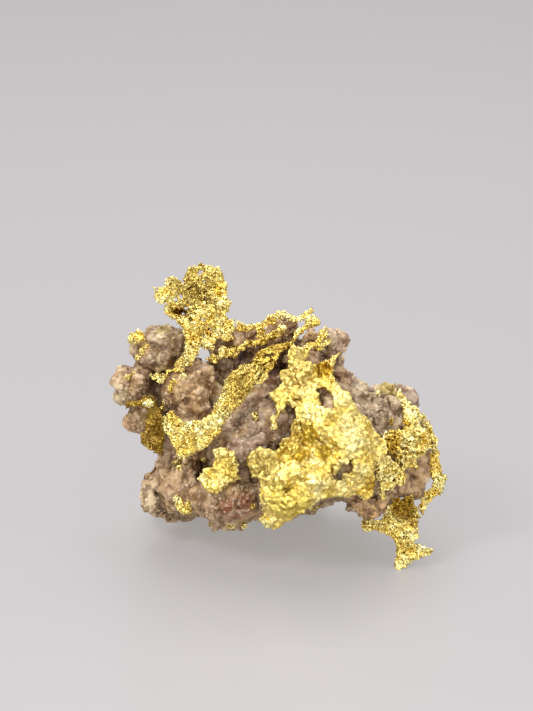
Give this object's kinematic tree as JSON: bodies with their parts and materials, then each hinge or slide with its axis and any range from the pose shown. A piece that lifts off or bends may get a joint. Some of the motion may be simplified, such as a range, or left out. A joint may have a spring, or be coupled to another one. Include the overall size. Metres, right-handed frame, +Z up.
{
  "type": "leaf gold specimen",
  "caption": "Natural mineral specimen: crumpled, lacy leaves of native gold grown over a lump of brown drusy quartz, resting on quartz feet and a gold tail.",
  "frame": {"origin": "middle of the bounding box's base, on the plane the specimen rests on", "axes": "+Z up, +X to the right along its greatest width, -Y towards the side with the large gold sheet"},
  "size_m": [0.0188, 0.0122, 0.0152],
  "materials": {
    "quartz": "rough drusy crystals, grey brown to tan, with a glassy sparkle",
    "gold_plume": "bright native gold, finely grained and crumpled",
    "gold_top_ribbon": "bright native gold, finely grained and crumpled",
    "gold_diagonal_leaf": "bright native gold, finely grained and crumpled",
    "gold_front_sheet": "bright native gold, finely grained and crumpled",
    "gold_front_patch": "bright native gold, finely grained and crumpled",
    "gold_right_rim": "bright native gold, finely grained and crumpled",
    "gold_right_leaf": "bright native gold, finely grained and crumpled",
    "gold_right_tongue": "bright native gold, finely grained and crumpled",
    "gold_tail": "bright native gold, finely grained and crumpled",
    "gold_left_leaf": "bright native gold, finely grained and crumpled",
    "gold_left_flake": "bright native gold, finely grained and crumpled",
    "gold_foot_flake": "bright native gold, finely grained and crumpled",
    "gold_slab_strand": "bright native gold, finely grained and crumpled",
    "gold_top_strand": "bright native gold, finely grained and crumpled"
  },
  "bodies": {
    "root": {"quartz_matrix": "quartz", "gold_plume": "gold_plume", "gold_top_ribbon": "gold_top_ribbon", "gold_diagonal_leaf": "gold_diagonal_leaf", "gold_front_sheet": "gold_front_sheet", "gold_front_patch": "gold_front_patch", "gold_right_rim": "gold_right_rim", "gold_right_leaf": "gold_right_leaf", "gold_right_tongue": "gold_right_tongue", "gold_tail": "gold_tail", "gold_left_leaf": "gold_left_leaf", "gold_left_flake": "gold_left_flake", "gold_foot_flake": "gold_foot_flake", "gold_slab_strand": "gold_slab_strand", "gold_top_strand": "gold_top_strand"}
  },
  "joints": []
}
